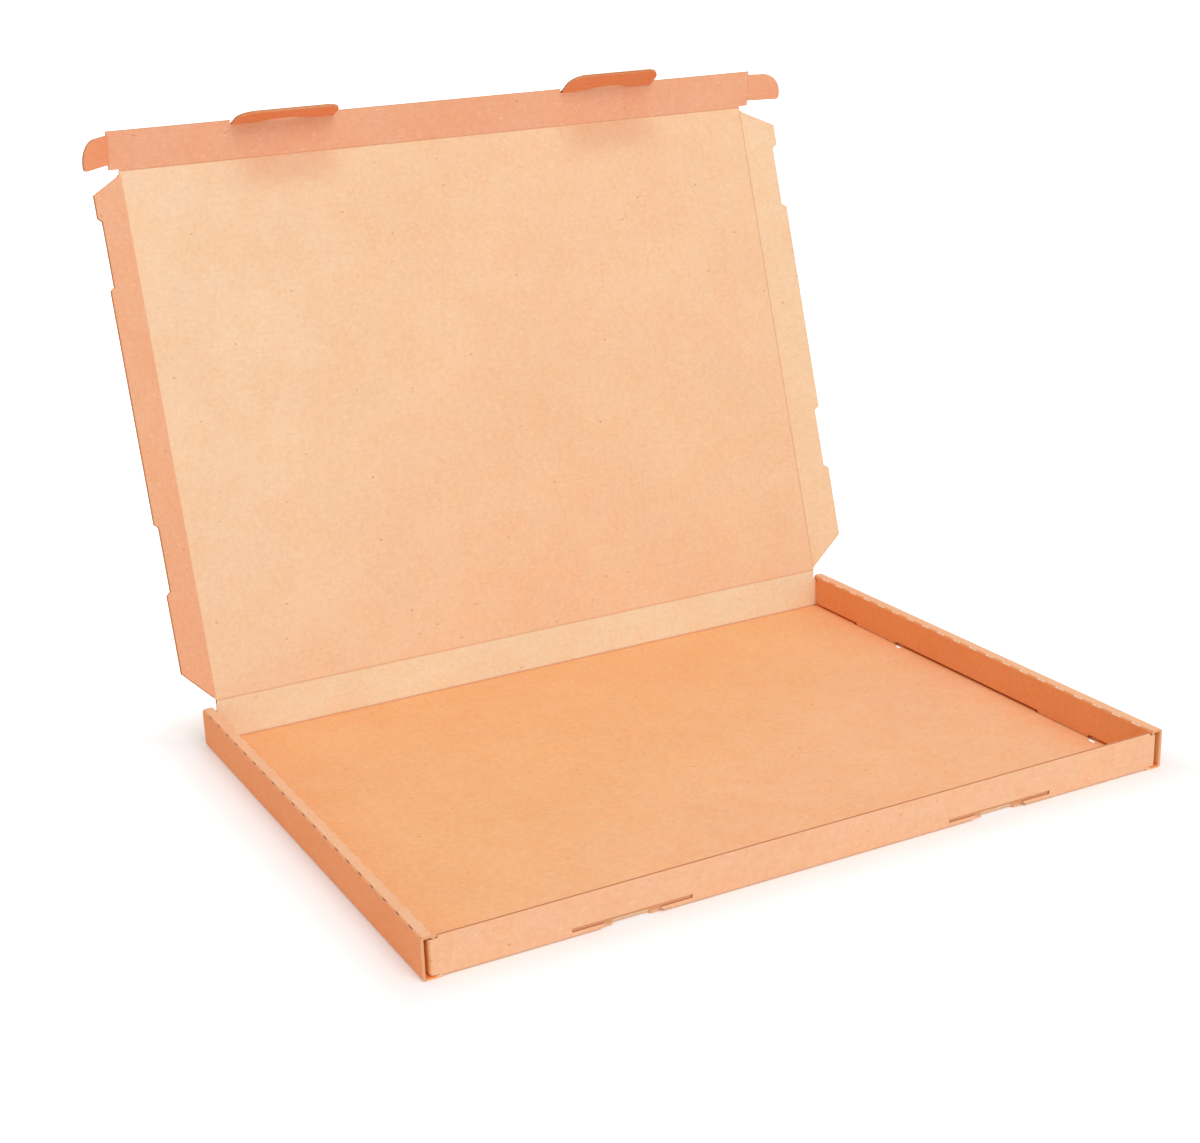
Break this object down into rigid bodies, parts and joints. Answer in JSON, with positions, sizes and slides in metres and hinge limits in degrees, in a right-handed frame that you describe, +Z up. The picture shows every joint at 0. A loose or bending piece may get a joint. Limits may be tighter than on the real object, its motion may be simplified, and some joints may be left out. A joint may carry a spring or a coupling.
{
  "type": "flat mailer box",
  "caption": "Shallow corrugated mailer box, standing open: tray with roll-over side walls, and a hinged lid with side flaps, front flap, corner ears and lock tabs.",
  "frame": {"origin": "centre of the tray's underside, at table level", "axes": "+X along the box to its right end, seen from the front, +Y from the front wall to the lid crease, +Z up"},
  "size_m": [0.3791, 0.3181, 0.285],
  "materials": {
    "board": "matt kraft"
  },
  "bodies": {
    "tray": {"tray": "board"},
    "lid_panel": {"lid_panel": "board"},
    "left_side_flap": {"left_side_flap": "board"},
    "right_side_flap": {"right_side_flap": "board"},
    "front_flap": {"front_flap": "board"},
    "left_ear": {"left_ear": "board"},
    "right_ear": {"right_ear": "board"},
    "left_lock_tab": {"left_lock_tab": "board"},
    "right_lock_tab": {"right_lock_tab": "board"}
  },
  "joints": [
    {"name": "lid_hinge", "type": "hinge", "parent": "tray", "child": "lid_panel", "pos_m": [0, 0.1234, 0.0214], "axis": [1, 0, 0], "range_deg": [-73.6, 106.75]},
    {"name": "left_side_flap_fold", "type": "hinge", "parent": "lid_panel", "child": "left_side_flap", "pos_m": [-0.1682, 0.15847, 0.14055], "axis": [0, 0.2823, 0.9593], "range_deg": [-8, 82]},
    {"name": "right_side_flap_fold", "type": "hinge", "parent": "lid_panel", "child": "right_side_flap", "pos_m": [0.1682, 0.15847, 0.14055], "axis": [0, -0.2823, -0.9593], "range_deg": [-8, 82]},
    {"name": "front_flap_fold", "type": "hinge", "parent": "lid_panel", "child": "front_flap", "pos_m": [0, 0.19353, 0.2597], "axis": [1, 0, 0], "range_deg": [-21.9, 67.75]},
    {"name": "left_ear_fold", "type": "hinge", "parent": "front_flap", "child": "left_ear", "pos_m": [-0.1729, 0.19267, 0.26866], "axis": [0, -0.0958, 0.9954], "range_deg": [-37, 53]},
    {"name": "right_ear_fold", "type": "hinge", "parent": "front_flap", "child": "right_ear", "pos_m": [0.1729, 0.19267, 0.26866], "axis": [0, 0.0958, -0.9954], "range_deg": [-10, 80]},
    {"name": "left_lock_tab_fold", "type": "hinge", "parent": "front_flap", "child": "left_lock_tab", "pos_m": [-0.0875, 0.19194, 0.27622], "axis": [1, 0, 0], "range_deg": [-62, 28]},
    {"name": "right_lock_tab_fold", "type": "hinge", "parent": "front_flap", "child": "right_lock_tab", "pos_m": [0.0875, 0.19194, 0.27622], "axis": [1, 0, 0], "range_deg": [-51, 39]}
  ]
}
